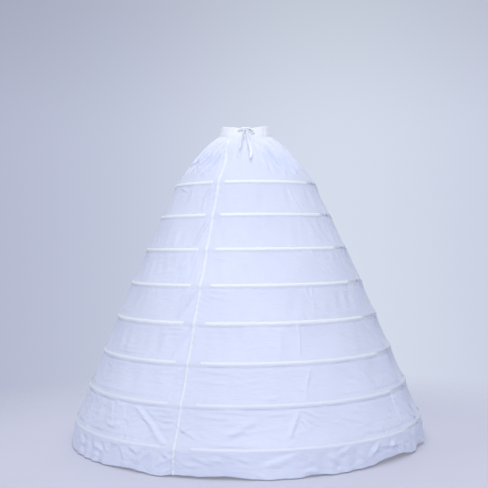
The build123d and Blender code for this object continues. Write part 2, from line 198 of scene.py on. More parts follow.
# Small wrinkles: (azimuth, height) of both ends, width and height
WRINKLES = (
    ((-32, 184), (-22.8, 185), 4, 3.2), ((-31, 168), (-22.6, 169), 4, 3.2),
    ((-27.5, 152), (-22.4, 155), 4, 2.8), ((-22.8, 152), (-17.6, 119), 4, 3.2),
    ((-20.6, 124), (-16.8, 146), 4, 2.8), ((-8.4, 112), (3.0, 166), 11, 3.6),
    ((15.2, 190), (22.5, 160), 5, 2.2), ((15.0, 178), (21.0, 142), 5, 2.0),
    ((14.9, 170), (19.0, 128), 5, 1.8), ((-50.5, 52), (-48.5, 36), 10, 4.0),
    ((-47.5, 76), (-43.5, 84), 8, 3.6), ((-44.5, 72), (-41.0, 80), 8, 3.4),
    ((-36.5, 72), (-32.5, 56), 8, 3.6), ((-24.6, 72), (-22.6, 48), 7, 3.4),
    ((-33, 60), (-36, 30), 8, 3.2), ((30.4, 78), (24.4, 50), 9, 4.0),
    ((41.4, 76), (36.0, 26), 9, 4.0), ((14.4, 72), (2, 34), 9, 3.6), ((48, 74), (46, 30), 9, 3.4),
    ((-30, 131), (-23, 138), 5, 1.8), ((-20.5, 138), (-14, 106), 6, 2.2),
    ((-9, 158), (4, 150), 8, 1.4), ((-6, 128), (10, 142), 8, 1.5),
    ((14.5, 176), (11, 109), 6, 2.2), ((-17, 66), (-9, 36), 7, 2.0),
    ((-23.5, 70), (-26.5, 24), 6, 2.6), ((-19.5, 72), (-20.5, 20), 5, 2.0),
    ((-55, 62), (-46, 34), 9, 2.2), ((-66, 70), (-58, 30), 9, 2.6),
    ((-60, 880), (-48, 862), 5, 2.2), ((-31, 190), (-23.5, 196), 4, 1.8),
    ((-30, 176), (-23, 180), 4, 1.8), ((-20, 60), (-27, 30), 6, 3.0),
    ((-28, 74), (-34, 30), 8, 3.0), ((-40, 70), (-38, 26), 8, 2.6),
    ((-60, 300), (-45, 308), 5, 1.6), ((-33, 420), (-24, 424), 4, 1.5),
    ((-33, 300), (-24, 306), 4, 1.5), ((-32, 286), (-24, 290), 4, 1.3),
    ((-34, 405), (-24, 408), 4, 1.3), ((-18, 640), (-8, 632), 4, 1.2),
    ((-18, 540), (-6, 530), 5, 1.2), ((-18, 520), (-8, 512), 4, 1.2),
    ((-18, 300), (-4, 292), 5, 1.3), ((-18, 270), (-6, 264), 5, 1.3),
    ((-18, 190), (2, 184), 5, 1.8), ((-17, 172), (-2, 166), 5, 1.6),
    ((4, 176), (13, 180), 5, 1.6), ((-14, 100), (6, 96), 6, 1.8),
    ((22, 64), (27, 22), 8, 3.0), ((40, 60), (52, 40), 9, 3.2), ((32, 56), (36, 18), 7, 2.4),
    ((58, 70), (64, 24), 8, 2.0), ((68, 78), (72, 24), 8, 2.0), ((76, 78), (80, 30), 9, 2.0),
    ((-47, 884), (-50, 850), 5, 1.5), ((-38, 600), (-52, 588), 6, 1.2),
    ((-30.5, 640), (-31.5, 596), 5, 1.6), ((-34, 640), (-36, 600), 5, 1.6),
    ((-42, 352), (-66, 356), 5, 1.3), ((-40, 340), (-58, 342), 4, 1.1),
    ((36, 415), (50, 340), 7, 1.6), ((34, 296), (47, 226), 8, 1.8),
    ((26, 170), (42, 120), 9, 1.6), ((49, 180), (58, 96), 7, 2.2),
)

# Small wrinkles strewn at random: number, azimuths, heights, reach in degrees, drop, width, height
STREWN = (
    (34, (-34, -3), (985, 1056), 6.0, 24, 2.6, 1.8), (40, (-75, -23), (92, 190), 4.5, 26, 5.0, 2.6),
    (26, (-19, 80), (92, 190), 4.5, 20, 5.0, 1.8), (90, (82, 282), (92, 190), 4.5, 22, 5.0, 2.0),
    (60, (-80, 70), (214, 308), 4.5, 14, 4.5, 1.2), (110, (-180, 180), (6, 72), 3.2, 26, 7.0, 2.8),
    (60, (-180, 180), (330, 540), 4.5, 12, 4.5, 1.0),
)


def srgb(text):
    """Linear colour from an sRGB hex value."""
    parts = [int(text[i:i + 2], 16) / 255 for i in (1, 3, 5)]
    return [c / 12.92 if c <= 0.04045 else ((c + 0.055) / 1.055) ** 2.4 for c in parts]


# What a user may change
def colour_setting(name, description, value):
    """Colour property with its default as an sRGB hex value."""
    return FloatVectorProperty(name=name, description=description, size=3, subtype="COLOR", min=0,
                               max=1, default=srgb(value))


def length_setting(name, description, value, least, most):
    """Length property; its values are written in millimetres."""
    return FloatProperty(name=name, description=description, default=value * MM, min=least * MM,
                         max=most * MM, unit="LENGTH")


class CageCloth(bpy.types.PropertyGroup):
    colour: colour_setting("Cloth", "Colour of the skirt's cloth", "#DDE4F8")
    crowded_colour: colour_setting(
        "Crowded cloth", "Colour of the cloth where gathers lie on each other", "#E8EDFC")
    gather_depth: length_setting("Gather depth", "Depth of the gathers under the waistband", 5, 0, 9)
    sag: length_setting("Sag", "How far the cloth draws in between two hoops", 4, 0, 10)
    crumple: length_setting(
        "Crumple", "Height of the soft unevenness left by folding and packing", 0.9, 0, 4)
    seam_height: length_setting("Seam height", "How far a felled seam stands out of the cloth", 1.3, 0, 4)
    hem_turn: length_setting("Hem turn-up", "Height of the cloth turned up inside the hem", 12, 4, 30)
    columns: IntProperty(
        name="Columns", description="Columns of faces across a gore", default=210, min=40, max=260)
    seed: IntProperty(name="Seed", description="Changes the soft unevenness", default=8, min=0)


class CageTrim(bpy.types.PropertyGroup):
    tape_colour: colour_setting("Tape", "Colour of the tapes over the hoops", "#E3E9FB")
    core_colour: colour_setting(
        "Tape, over the steel", "Colour of the tapes where they cover the steel", "#F3F9FF")
    seam_colour: colour_setting("Seams", "Colour of the felled seams", "#EFF4FF")
    band_colour: colour_setting("Waistband", "Colour of the waistband", "#F1F5FF")
    string_colour: colour_setting("Drawstring", "Colour of the drawstring", "#F4F8FF")
    coat_colour: colour_setting("Hoop coat", "Colour of the plastic coat on the hoops", "#DCE3F2")
    stitch: length_setting("Stitch", "Length of one stitch", 3, 1, 8)
    band_dip: length_setting(
        "Waist dip", "How much lower the waistband sits at the back than at the sides", 12, 0, 14)


class CageStudio(bpy.types.PropertyGroup):
    floor_colour: colour_setting("Floor", "Colour of the floor", "#CFD1E3")
    # The backdrop is one paper: its left, middle and right colours are painted shade and light, darker on the
    # left and lighter on the right.
    wall_left: colour_setting("Backdrop, left", "Colour of the backdrop on the left", "#B0B5CC")
    wall_middle: colour_setting("Backdrop, middle", "Colour of the backdrop in the middle", "#C6CCE0")
    wall_right: colour_setting("Backdrop, right", "Colour of the backdrop on the right", "#DCE4F1")
    key: FloatProperty(
        name="Key light", description="Power of the large soft light in front", default=88,
        min=0, max=600, unit="POWER")
    fill: FloatProperty(
        name="Fill lights", description="Power of the soft lights at the sides", default=23,
        min=0, max=400, unit="POWER")


# Where things are
def skirt_radius(z):
    """Radius of the cloth at the hoops, and of the straight line between them."""
    return KNEE_RADIUS + np.where(z > KNEE_HEIGHT, UPPER_SLOPE, LOWER_SLOPE) * (KNEE_HEIGHT - z)


def band_radius(azimuth, z, inset=0.0):
    """Radius of the waistband's outside, less an inset: two half rounds and two short straights."""
    depth = BAND_HALF_DEPTH + BAND_FLARE * (BAND_TOP - z) / (BAND_TOP - BAND_BOTTOM) - inset
    across, along = np.abs(np.sin(np.radians(azimuth))), np.abs(np.cos(np.radians(azimuth)))
    straight = depth / np.maximum(along, 1e-6)
    inside = np.maximum(depth ** 2 - (BAND_HALF_STRAIGHT * along) ** 2, 0)
    round_end = BAND_HALF_STRAIGHT * across + np.sqrt(inside)
    return np.where(depth * across <= BAND_HALF_STRAIGHT * along, straight, round_end)


def waist_dip(azimuth):
    """Height that the waistband is raised by: it dips at the centre back."""
    dip = bpy.context.scene.cage_trim.band_dip / MM
    behind = np.maximum(np.cos(np.radians(azimuth)), 0) ** 2
    return SIDE_RISE * dip - dip * behind


def stacked(*parts):
    """Points or pattern from arrays of coordinates that are spread over the same grid."""
    return np.stack(np.broadcast_arrays(*parts), -1)


def on_plan(azimuth, radius, z):
    """Points in metres from azimuths, radii and heights in millimetres."""
    turn = np.radians(azimuth)
    return stacked(radius * np.sin(turn), -radius * np.cos(turn), z) * MM


def turned(azimuth, zero=0.0):
    """Azimuth counted from another one, -180 to 180."""
    return (azimuth - zero + 180) % 360 - 180


def smooth(low, high, value):
    """0 below low, 1 above high, and an even curve between."""
    share = np.clip((value - low) / (high - low), 0, 1)
    return share * share * (3 - 2 * share)


def ripples(azimuth, z, low, high, number, lean, dice):
    """Waves round the skirt, low to high of them a turn, each leaning its own way; about -1 to 1."""
    total = 0
    for _ in range(number):
        count, phase = dice.integers(low, high + 1), dice.uniform(0, 2 * pi)
        total = total + np.cos(count * np.radians(azimuth) + phase + dice.normal(0, lean) * z)
    return total / sqrt(number / 2) / 1.4


# Meshes and materials
def grid_faces(rows, columns, closed):
    """Corners of one face between every four neighbours of a grid of points."""
    wide = columns if closed else columns - 1
    low = np.arange(rows - 1)[:, None] * columns + np.arange(wide)[None, :]
    side = np.arange(rows - 1)[:, None] * columns + (np.arange(wide)[None, :] + 1) % columns
    return np.stack((low, side, side + columns, low + columns), -1).reshape(-1, 4)


def grid_mesh(name, grid, material, cut=None, closed=False, holes=None):
    """Object from a grid of points, but for the faces that have a corner among the holes."""
    corners = grid_faces(*grid.shape[:2], closed)
    if holes is not None:
        corners = corners[~holes.ravel()[corners].any(1)]
    return faces_mesh(name, grid.reshape(-1, 3), corners, material,
                      None if cut is None else cut.reshape(-1, 2))


def faces_mesh(name, points, corners, material, cut=None):
    """Smooth object from points in metres and faces, with its flat pattern as a UV map."""
    mesh = bpy.data.meshes.new(name)
    mesh.from_pydata(points.tolist(), [], corners.tolist())
    mesh.polygons.foreach_set("use_smooth", np.ones(len(mesh.polygons), bool))
    if cut is not None:
        layer = mesh.uv_layers.new(name="cut")
        loops = np.empty(len(mesh.loops), np.int32)
        mesh.loops.foreach_get("vertex_index", loops)
        layer.data.foreach_set("uv", cut[loops].astype(np.float32).ravel())
    mesh.materials.append(material)
    mesh.update()
    made = bpy.data.objects.new(name, mesh)
    bpy.context.collection.objects.link(made)
    return made


def joined(name, parts):
    """One object from several, under a new name."""
    bpy.ops.object.select_all(action="DESELECT")
    for part in parts:
        part.select_set(True)
    bpy.context.view_layer.objects.active = parts[0]
    if len(parts) > 1:
        bpy.ops.object.join()
    parts[0].name = parts[0].data.name = name
    return parts[0]


def add(tree, kind, links=(), **settings):
    """Adds a node: links are (input, value or output socket), settings its own properties."""
    node = tree.nodes.new(kind)
    for key, value in settings.items():
        setattr(node, key, value)
    for socket, value in links:
        if isinstance(value, bpy.types.NodeSocket):
            tree.links.new(value, node.inputs[socket])
        else:
            node.inputs[socket].default_value = value
    return node


def new_material(name):
    """Empty material with its output node."""
    material = bpy.data.materials.new(name)
    material.use_nodes = True
    material.node_tree.nodes.clear()
    return material, material.node_tree


def finish_material(tree, shader):
    """Shows the shader as the material's surface."""
    add(tree, "ShaderNodeOutputMaterial", [("Surface", shader.outputs[0])])


def rgba(colour, light=1.0):
    """Colour with full cover, made lighter or darker."""
    return (*[min(1.0, c * light) for c in colour], 1.0)


def woven(name, colour, warp, weft, roughness, crumple=0.4, sheen=0.15, stitch_rows=(), stitch=3.0,
          mottle=0.03, creases=0.0, white=None, core=None, rise=None):
    """Plain or ribbed weave over the flat pattern: warp and weft are thread spacings in mm. The cloth
    is whiter within core (half width, edge) and towards the top of rise (low, high, least)."""
    material, tree = new_material(name)
    cut = add(tree, "ShaderNodeUVMap", uv_map="cut")
    place = add(tree, "ShaderNodeTexCoord")
    parts = add(tree, "ShaderNodeSeparateXYZ", [("Vector", cut.outputs["UV"])])
    waves = []
    for axis, spacing in (("X", warp), ("Y", weft)):
        turn = add(tree, "ShaderNodeMath", [(0, parts.outputs[axis]), (1, 2 * pi / (spacing * MM))],
                   operation="MULTIPLY")
        waves.append(add(tree, "ShaderNodeMath", [(0, turn.outputs[0])], operation="SINE"))
    weave = add(tree, "ShaderNodeMath", [(0, waves[0].outputs[0]), (1, waves[1].outputs[0])],
                operation="ADD")
    soft = add(tree, "ShaderNodeTexNoise",
               [("Vector", place.outputs["Object"]), ("Scale", 24.0), ("Detail", 5.0),
                ("Roughness", 0.62), ("Distortion", 0.6)])
    broad = add(tree, "ShaderNodeTexNoise",
                [("Vector", place.outputs["Object"]), ("Scale", 3.2), ("Detail", 3.0)])
    slub = add(tree, "ShaderNodeTexNoise", [("Vector", cut.outputs["UV"]), ("Scale", 420.0)])
    tone = add(tree, "ShaderNodeMapRange",
               [("Value", broad.outputs["Fac"]), ("From Min", 0.3), ("From Max", 0.7),
                ("To Min", 0.0), ("To Max", 1.0)])
    base = add(tree, "ShaderNodeMix", [
        (0, tone.outputs[0]), (6, rgba(colour, 1 - mottle)), (7, rgba(colour, 1 + mottle))],
        data_type="RGBA")
    if white:
        height = add(tree, "ShaderNodeSeparateXYZ", [("Vector", place.outputs["Object"])])
        # Whiter towards the top of rise: on the gores this is the crowded layers of cloth; on the tapes it is
        # painted shade that makes the lower tapes less white
        low, high, least = rise
        amount = add(tree, "ShaderNodeMapRange",
                     [("Value", height.outputs["Z"]), ("From Min", low * MM), ("From Max", high * MM),
                      ("To Min", least)], interpolation_type="SMOOTHSTEP")
        if core:
            side = add(tree, "ShaderNodeMath", [(0, parts.outputs["Y"])], operation="ABSOLUTE")
            middle = add(tree, "ShaderNodeMapRange",
                         [("Value", side.outputs[0]), ("From Min", core[1] * MM),
                          ("From Max", core[0] * MM)], interpolation_type="SMOOTHSTEP")
            amount = add(tree, "ShaderNodeMath", [(0, amount.outputs[0]), (1, middle.outputs[0])],
                         operation="MULTIPLY")
        base = add(tree, "ShaderNodeMix", [
            (0, amount.outputs[0]), (6, base.outputs[2]), (7, rgba(white))], data_type="RGBA")
    thread_tone = add(tree, "ShaderNodeMapRange",
                      [("Value", weave.outputs[0]), ("From Min", -2.0), ("From Max", 2.0),
                       ("To Min", 0.955), ("To Max", 1.0)])
    shade = add(tree, "ShaderNodeMix", [
        (0, 1.0), (6, base.outputs[2]), (7, thread_tone.outputs[0])],
        data_type="RGBA", blend_type="MULTIPLY")
    colour_out = shade.outputs[2]
    bump = add(tree, "ShaderNodeBump",
               [("Strength", 0.35), ("Distance", 0.12 * MM), ("Height", weave.outputs[0])])
    bump = add(tree, "ShaderNodeBump",
               [("Strength", crumple), ("Distance", 1.4 * MM), ("Height", soft.outputs["Fac"]),
                ("Normal", bump.outputs[0])])
    if creases:
        # Soft creases left by folding and by stitching the tapes, 15 to 60 mm long, mostly level
        stretched = add(tree, "ShaderNodeMapping",
                        [("Vector", cut.outputs["UV"]), ("Scale", (22.0, 95.0, 1.0)),
                         ("Rotation", (0, 0, 0.06))])
        level = add(tree, "ShaderNodeTexNoise",
                    [("Vector", stretched.outputs[0]), ("Scale", 1.0), ("Detail", 2.5),
                     ("Roughness", 0.55), ("Distortion", 0.8)])
        bump = add(tree, "ShaderNodeBump",
                   [("Strength", creases), ("Distance", 2.6 * MM), ("Height", level.outputs["Fac"]),
                    ("Normal", bump.outputs[0])])
    if stitch_rows:
        dash_turn = add(tree, "ShaderNodeMath",
                        [(0, parts.outputs["X"]), (1, 2 * pi / (stitch * MM))],
                        operation="MULTIPLY")
        dash = add(tree, "ShaderNodeMath", [(0, dash_turn.outputs[0])], operation="SINE")
        thread = add(tree, "ShaderNodeMapRange",
                     [("Value", dash.outputs[0]), ("From Min", -0.55), ("From Max", -0.2)])
        groove = None
        for row in stitch_rows:
            near = add(tree, "ShaderNodeMath",
                       [(0, parts.outputs["Y"]), (1, row * MM), (2, 0.75 * MM)],
                       operation="COMPARE")
            groove = near if groove is None else add(
                tree, "ShaderNodeMath", [(0, groove.outputs[0]), (1, near.outputs[0])],
                operation="MAXIMUM")
        sunk = add(tree, "ShaderNodeMath", [(0, groove.outputs[0]), (1, thread.outputs[0])],
                   operation="SUBTRACT")
        hole = add(tree, "ShaderNodeMath", [(0, groove.outputs[0]), (1, sunk.outputs[0])],
                   operation="MULTIPLY", use_clamp=True)
        # The sunk holes between the stitches are painted darker: painted shade in the needle holes.
        dark = add(tree, "ShaderNodeMix", [
            (0, hole.outputs[0]), (6, colour_out), (7, rgba(colour, 0.72))], data_type="RGBA")
        colour_out = dark.outputs[2]
        bump = add(tree, "ShaderNodeBump",
                   [("Strength", 0.7), ("Distance", 0.5 * MM), ("Height", hole.outputs[0]),
                    ("Normal", bump.outputs[0])], invert=True)
    rough = add(tree, "ShaderNodeMapRange",
                [("Value", slub.outputs["Fac"]), ("To Min", roughness - 0.06),
                 ("To Max", roughness + 0.06)])
    shader = add(tree, "ShaderNodeBsdfPrincipled", [
        ("Base Color", colour_out), ("Roughness", rough.outputs[0]),
        ("Normal", bump.outputs[0]), ("Sheen Weight", sheen), ("Sheen Roughness", 0.45),
        ("Specular IOR Level", 0.35)])
    finish_material(tree, shader)
    return material


def coated_steel(colour):
    """Spring steel in a white moulded PVC coat, cut back beside the connector: the coat has a soft
    gloss with faint scuffs, and the bare ends show rolled steel, grey and brighter along the roll."""
    material, tree = new_material("spring steel in moulded PVC coat")
    place = add(tree, "ShaderNodeTexCoord")
    scuff = add(tree, "ShaderNodeTexNoise",
                [("Vector", place.outputs["Object"]), ("Scale", 160.0), ("Detail", 4.0)])
    cloudy = add(tree, "ShaderNodeTexNoise",
                 [("Vector", place.outputs["Object"]), ("Scale", 14.0)])
    coat = add(tree, "ShaderNodeMix", [
        (0, cloudy.outputs["Fac"]), (6, rgba(colour, 0.93)), (7, rgba(colour, 1.03))],
        data_type="RGBA")
    # Share of a direction across the join: 1 straight above the connector's middle
    turn = radians(SEAMS[JOIN_SEAM])
    flat = add(tree, "ShaderNodeVectorMath",
               [(0, place.outputs["Object"]), (1, (1, 1, 0))], operation="MULTIPLY")
    way = add(tree, "ShaderNodeVectorMath", [(0, flat.outputs[0])], operation="NORMALIZE")
    near = add(tree, "ShaderNodeVectorMath",
               [(0, way.outputs[0]), (1, (sin(turn), -sin(pi / 2 - turn), 0))],
               operation="DOT_PRODUCT")
    bare = add(tree, "ShaderNodeMapRange",
               [("Value", near.outputs["Value"]), ("From Min", 0.9795), ("From Max", 0.9815)])
    streak = add(tree, "ShaderNodeTexNoise",
                 [("Vector", place.outputs["Object"]), ("Scale", 420.0), ("Detail", 3.0)])
    steel = add(tree, "ShaderNodeMix", [
        (0, streak.outputs["Fac"]), (6, rgba(srgb("#C4CBD6"))), (7, rgba(srgb("#DADFE8")))],
        data_type="RGBA")
    base = add(tree, "ShaderNodeMix", [
        (0, bare.outputs[0]), (6, coat.outputs[2]), (7, steel.outputs[2])], data_type="RGBA")
    rough = add(tree, "ShaderNodeMapRange",
                [("Value", scuff.outputs["Fac"]), ("To Min", 0.32), ("To Max", 0.55)])
    metal = add(tree, "ShaderNodeMath", [(0, bare.outputs[0]), (1, 0.2)], operation="MULTIPLY")
    bump = add(tree, "ShaderNodeBump",
               [("Strength", 0.2), ("Distance", 0.1 * MM), ("Height", scuff.outputs["Fac"])])
    shader = add(tree, "ShaderNodeBsdfPrincipled", [
        ("Base Color", base.outputs[2]), ("Roughness", rough.outputs[0]),
        ("Metallic", metal.outputs[0]), ("Normal", bump.outputs[0]), ("IOR", 1.53)])
    finish_material(tree, shader)
    return material


def crimped_metal():
    """Nickel-plated brass, stamped and crimped: satin, lighter and darker in a fine random grain."""
    material, tree = new_material("nickel-plated brass stamped")
    place = add(tree, "ShaderNodeTexCoord")
    grain = add(tree, "ShaderNodeTexNoise",
                [("Vector", place.outputs["Object"]), ("Scale", 240.0), ("Detail", 6.0)])
    base = add(tree, "ShaderNodeMix", [
        (0, grain.outputs["Fac"]), (6, rgba(srgb("#BFC2C9"))), (7, rgba(srgb("#DADCE2")))],
        data_type="RGBA")
    rough = add(tree, "ShaderNodeMapRange",
                [("Value", grain.outputs["Fac"]), ("To Min", 0.26), ("To Max", 0.5)])
    bump = add(tree, "ShaderNodeBump",
               [("Strength", 0.25), ("Distance", 0.08 * MM), ("Height", grain.outputs["Fac"])])
    shader = add(tree, "ShaderNodeBsdfPrincipled", [
        ("Base Color", base.outputs[2]), ("Roughness", rough.outputs[0]), ("Metallic", 1.0),
        ("Normal", bump.outputs[0])])
    finish_material(tree, shader)
    return material


# Cloth
def seam_azimuth(index, z):
    """Where a seam lies at a height: each leans over under the waistband."""
    rise = np.clip((z - LEAN_FOOT) / (BAND_BOTTOM - LEAN_FOOT), 0, 1.05)
    return SEAMS[index] + SEAM_LEANS[index] * rise ** LEAN_POWER


def long_fold(azimuth, z, radius, line, width, height, crease=0.5, side=1, fade=0.25):
    """Ridge down the cloth through (azimuth, height) points, with a crease along one side."""
    line = np.array(line[::-1], float)
    low, high = line[0, 1], line[-1, 1]
    share = (high - z) / (high - low)
    away = turned(azimuth, np.interp(z, line[:, 1], line[:, 0]))
    away = np.radians(away) * radius / width
    ends = smooth(0, fade, share) * smooth(0, fade, 1 - share)
    dent = crease * np.exp(-((away - 1.45 * side) / 0.65) ** 2)
    return height * ends * (np.exp(-away ** 2) - dent)


def short_fold(azimuth, z, radius, start, end, width, height):
    """Small wrinkle between two (azimuth, height) points, in any direction."""
    middle = ((start[0] + end[0]) / 2, (start[1] + end[1]) / 2)
    across = np.radians(turned(azimuth, middle[0])) * radius
    up = (z - middle[1]) * SLANT
    size = float(np.interp(middle[1], (0, 900), (620, 250)))
    along = (radians(end[0] - start[0]) * size, (end[1] - start[1]) * SLANT)
    length = hypot(*along)
    run = (across * along[0] + up * along[1]) / length
    away = (up * along[0] - across * along[1]) / length
    ends = np.clip(1 - (2 * run / length) ** 2, 0, 1)
    return height * ends * (np.exp(-(away / width) ** 2) - 0.4 * np.exp(-((away + 1.5 * width) / width) ** 2))


def named_folds(azimuth, z, radius):
    """The folds that show at the back, from the waist down."""
    out = np.zeros(azimuth.shape)
    for line, width, height, side in NECK_FOLDS:
        out = out + long_fold(azimuth, z, radius, line, 1.25 * width, 1.7 * height, 0.8, side, 0.16)
    for line, width, height, crease in SLACK_FOLDS + LOWER_FOLDS:
        out = out + long_fold(azimuth, z, radius, line, width, height, crease, 1, 0.2)
    for start, end, width, height in WRINKLES:
        out = out + short_fold(azimuth, z, radius, start, end, width, 1.25 * height)
    # Crowded gathers left of the centre are crossed by short slanting wrinkles, and the cloth
    # crumples more and more towards the hem
    dice = np.random.default_rng(STREWN_SEED)
    for count, azimuths, heights, reach, drop, width, size in STREWN:
        for _ in range(count):
            at, up = dice.uniform(*azimuths), dice.uniform(*heights)
            turn, fall = dice.uniform(0.3, 1) * reach * dice.choice((-1, 1)), dice.uniform(0.1, 1) * drop
            lift = dice.uniform(0.4, 1) * size
            near = (np.abs(turned(azimuth, at)) < 1.6 * reach + 2) & (np.abs(z - up) < 60)
            if near.any():
                out[near] += short_fold(azimuth[near], z[near], radius[near], (at - turn, up + fall / 2),
                                        (at + turn, up - fall / 2), width * dice.uniform(0.7, 1.3), lift)
    return out


def hoop_spaces():
    """Heights of the tape edges above and below each stretch of free cloth."""
    return [(a - HELD, b + HELD) for a, b in zip(HOOP_HEIGHTS, HOOP_HEIGHTS[1:])]


def join_slack(azimuth, z, radius):
    """Cloth at the wide gap where the hoops are joined: no tape holds it, so it draws in towards
    the taut seam, and in the lower spaces a fold runs from the tape's end to the next hoop."""
    out = 0
    for (high, low), depth, ridge in zip(hoop_spaces(), JOIN_SLACK, JOIN_FOLDS):
        share = np.clip((high - z) / (high - low), 0, 1)
        free = np.sin(pi * share) ** 0.7 * ((z < high) & (z > low))
        left = JOIN_START + JOIN_TURN * share
        inside = np.clip((azimuth - left) / (JOIN_END - left), 0, 1)
        slope = np.where(azimuth < JOIN_END, (1 - inside) * ridge - inside * depth,
                         -depth - 2.5 * smooth(JOIN_END, JOIN_END + 4, azimuth))
        before = np.exp(-(np.radians(left - azimuth) * radius / 7.0) ** 2) * ridge
        fold = np.where(azimuth < left, before, slope) * smooth(0, 7.0, 86 - azimuth)
        out = out + free * fold
    return out


def cloth_offset(azimuth, z, radius, settings, dice):
    """How far the cloth stands out of the plain skirt, in millimetres."""
    out = np.zeros(np.broadcast(azimuth, z).shape)
    for number, (high, low) in enumerate(hoop_spaces()):
        inside = (z < high) & (z > low)
        share = np.clip((high - z) / (high - low), 0, 1)
        free = np.sin(pi * share) ** 0.75 * inside
        out -= settings.sag / MM * (0.8 + 0.06 * number) * free
        out += 1.5 * free * ripples(azimuth, z, 6, 19, 5, 0.006, dice)
        out += settings.crumple / MM * free * ripples(azimuth, z, 20, 58, 7, 0.03, dice)
        uneven = 1 + 0.4 * ripples(azimuth, 0, 9, 30, 5, 0, dice)
        out -= UPPER_CREASES[number] * np.exp(-((high - 5 - z) / 4.5) ** 2) * inside * uneven
        sides = smooth(18, 45, np.abs(turned(azimuth)))
        out -= LOWER_CREASES[number] * sides * np.exp(-((z - low - 5) / 4.5) ** 2) * inside * uneven
        # The seam allowance of each tape pulls small puckers that die away down the cloth
        for edge in (high, low):
            near = np.exp(-np.abs(z - edge) / 13.0) * inside
            size = 0.45 + 0.45 * np.clip(ripples(azimuth, z, 8, 30, 4, 0, dice), -0.6, 1.4)
            out += near * size * ripples(azimuth, z, 70, 170, 6, 0.02, dice)
    # Gathers: crowded and fine under the waistband, few and wide further down
    share = np.clip((BAND_BOTTOM + waist_dip(azimuth) - z) / (BAND_BOTTOM - NECK_FOOT), 0, 1)
    neck = z > NECK_FOOT
    depth = settings.gather_depth / MM
    fall = smooth(0, 0.12, share) * (1 - smooth(0.45, 1.0, share)) * neck
    calm = 1 - 0.6 * np.exp(-((azimuth - 4) / 20) ** 2)
    broad = ripples(azimuth, z, 13, 26, 5, 0.004, dice)
    fine = ripples(azimuth, z, 40, 88, 8, 0.006, dice)
    front = smooth(85, 100, np.abs(turned(azimuth)))
    out += fall * depth * (0.25 + 0.75 * front) * calm * (1.3 - 1.6 * np.abs(broad))
    fine_fall = smooth(0, 0.03, share) * np.exp(-share / 0.2) * neck
    out += fine_fall * 1.4 * fine
    out += 0.8 * neck * smooth(0.1, 0.5, share) * (1 - smooth(0.85, 1.0, share)) * ripples(
        azimuth, z, 20, 50, 6, 0.02, dice)
    out -= 2.4 * np.sin(pi * share) * neck * (1 - fall)
    # Long gathers from the band to the first hoop, rounded on top and pinched between
    loose = np.random.default_rng(LONG_SEED)
    long = np.abs(ripples(azimuth, z, 19, 26, 3, 0.0006, loose))
    even = 1 - 0.85 * np.exp(-((turned(azimuth) - 8) / 17) ** 2)
    reach = smooth(0, 0.05, share) * (1 - smooth(0.55, 0.97, share)) * neck
    out += reach * even * np.interp(share, (0, 0.25, 1), (3.4, 7.0, 7.0)) * (1.6 * np.minimum(long, 1) - 0.8)
    out += named_folds(azimuth, z, radius)
    out += join_slack(azimuth, z, radius)
    # The felled seams pucker the cloth beside them, less where a hoop presses them flat
    pressed = np.ones_like(out)
    for height in HOOP_HEIGHTS:
        pressed = pressed - np.exp(-((z - height) / 7.5) ** 2)
    for index in range(4):
        away = np.radians(turned(azimuth, seam_azimuth(index, z))) * radius
        beat = np.sin(2 * pi * (z + 0.55 * np.abs(away)) / 21.0 + 1.5 * np.sin(z / 37.0 + index))
        beat = beat * (0.6 + 0.4 * np.sin(z / 61.0 + 2 * index))
        out += 0.9 * beat * np.exp(-np.abs(away) / 20.0) * pressed
        out -= 1.4 * np.exp(-((away + 11.0) / 4.5) ** 2) * pressed
    # Under the tapes the cloth lies against the steel
    for height in HOOP_HEIGHTS:
        held = np.abs(z - height) < HELD
        out = np.where(held, np.minimum(out, 0.0), out)
    return out


def hem_shape(azimuth):
    """Lift and swing of the hem at each azimuth."""
    table = np.array(HEM_LINE, float)
    spread = np.linspace(-180, 180, 1441)
    shapes = []
    for column in (1, 2):
        values = np.interp(spread, table[:, 0], table[:, column])
        kernel = np.hanning(9)
        padded = np.concatenate((values[-9:-1], values, values[1:9]))
        values = np.convolve(padded, kernel / kernel.sum(), "same")[8:-8]
        shapes.append(np.interp(turned(azimuth), spread, values))
    return shapes


def gore_rows():
    """Heights of a gore's rows down to the flounce: close together where the tapes lie."""
    rows = list(np.linspace(BAND_BOTTOM + 4, NECK_FOOT, 50)[:-1])
    edges = [NECK_FOOT, *[height - HELD for height in HOOP_HEIGHTS]]
    for start, end in zip(edges, edges[1:]):
        count = max(3, round((start - end) / 3.7))
        rows += list(np.linspace(start, end, count, endpoint=False))
    return np.array(rows + [edges[-1]])


def draped(azimuth, z, settings):
    """Radius and height of the hung cloth where the plain skirt has this azimuth and height."""
    dice = np.random.default_rng(settings.seed)
    neck_share = np.clip((BAND_BOTTOM - z) / (BAND_BOTTOM - NECK_FOOT), 0, 1)
    at_band = band_radius(azimuth, BAND_BOTTOM, BAND_MIDDLE_INSET)
    puffed = at_band + (skirt_radius(np.array(NECK_FOOT)) - at_band) * neck_share ** 0.84
    radius = np.where(z > NECK_FOOT, puffed, skirt_radius(z))
    out = cloth_offset(azimuth, z, radius, settings, dice)
    lift, swing = hem_shape(azimuth)
    drop = np.clip((HOOP_HEIGHTS[-1] - HALF_TAPE - z) / FLOUNCE_TOP, 0, 1)
    flounce = drop ** 1.2 * (5.0 + swing) + smooth(0, 0.4, drop) * 1.6 * ripples(
        azimuth, z, 34, 80, 6, 0.01, dice)
    radius = np.where(z < FLOUNCE_TOP, skirt_radius(np.array(FLOUNCE_TOP)) + flounce, radius) + out
    raised = waist_dip(azimuth) * (1 - neck_share) ** 2 * (z > NECK_FOOT)
    return radius, z + lift * drop ** 1.5 + raised


